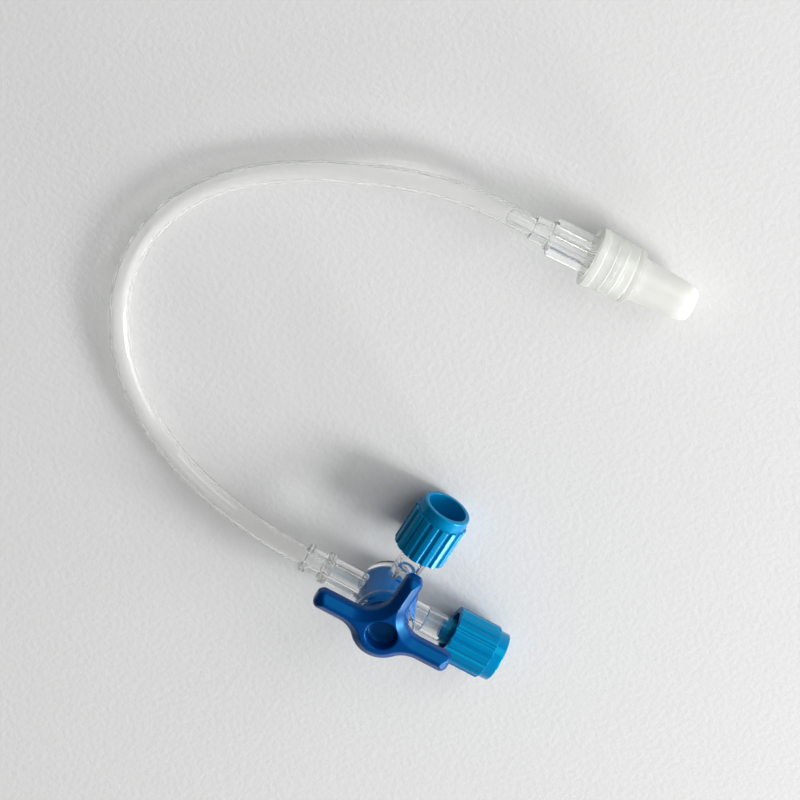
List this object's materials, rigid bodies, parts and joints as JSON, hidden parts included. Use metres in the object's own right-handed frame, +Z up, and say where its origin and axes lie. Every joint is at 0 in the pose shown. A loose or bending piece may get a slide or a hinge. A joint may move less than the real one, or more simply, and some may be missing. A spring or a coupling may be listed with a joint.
{
  "type": "three way stopcock",
  "caption": "Clear three way stopcock with a turning blue handle, blue screw caps and a clear extension tube that ends in a lock connector.",
  "frame": {"origin": "centre of the barrel's flat foot, on the surface that the set lies on", "axes": "+X along the straight run towards its cap, +Y along the side port, +Z up the barrel's axis to the handle"},
  "size_m": [0.1036, 0.0969, 0.0194],
  "materials": {
    "clear_plastic": "clear moulded plastic, polished",
    "core_blue": "moulded plastic, satin",
    "handle_blue": "moulded plastic, soft gloss",
    "cap_blue": "moulded plastic, soft gloss",
    "tube_clear": "clear flexible tubing",
    "collar_natural": "natural translucent plastic",
    "cover_white": "milky translucent plastic"
  },
  "bodies": {
    "stopcock": {"stopcock_body": "clear_plastic", "tube_adapter": "clear_plastic", "tube": "tube_clear", "connector_hub": "clear_plastic"},
    "rotor": {"core": "core_blue", "handle": "handle_blue"},
    "run_cap": {"run_cap": "cap_blue"},
    "side_cap": {"side_cap": "cap_blue"},
    "collar": {"lock_collar": "collar_natural"},
    "cover": {"tip_cover": "cover_white"}
  },
  "joints": [
    {"name": "handle_turn", "type": "hinge", "parent": "stopcock", "child": "rotor", "pos_m": [0, 0, 0], "axis": [0, 0, 1], "continuous": true},
    {"name": "run_cap_off", "type": "slide", "parent": "stopcock", "child": "run_cap", "axis": [1, 0, 0], "range_m": [0, 0.012]},
    {"name": "side_cap_off", "type": "slide", "parent": "stopcock", "child": "side_cap", "axis": [0, 1, 0], "range_m": [0, 0.012]},
    {"name": "collar_turn", "type": "hinge", "parent": "stopcock", "child": "collar", "pos_m": [-0.004, 0.085, 0.0059], "axis": [0.9994, 0.0349, 0], "continuous": true},
    {"name": "cover_off", "type": "slide", "parent": "stopcock", "child": "cover", "axis": [0.9994, 0.0349, 0], "range_m": [0, 0.015]}
  ]
}
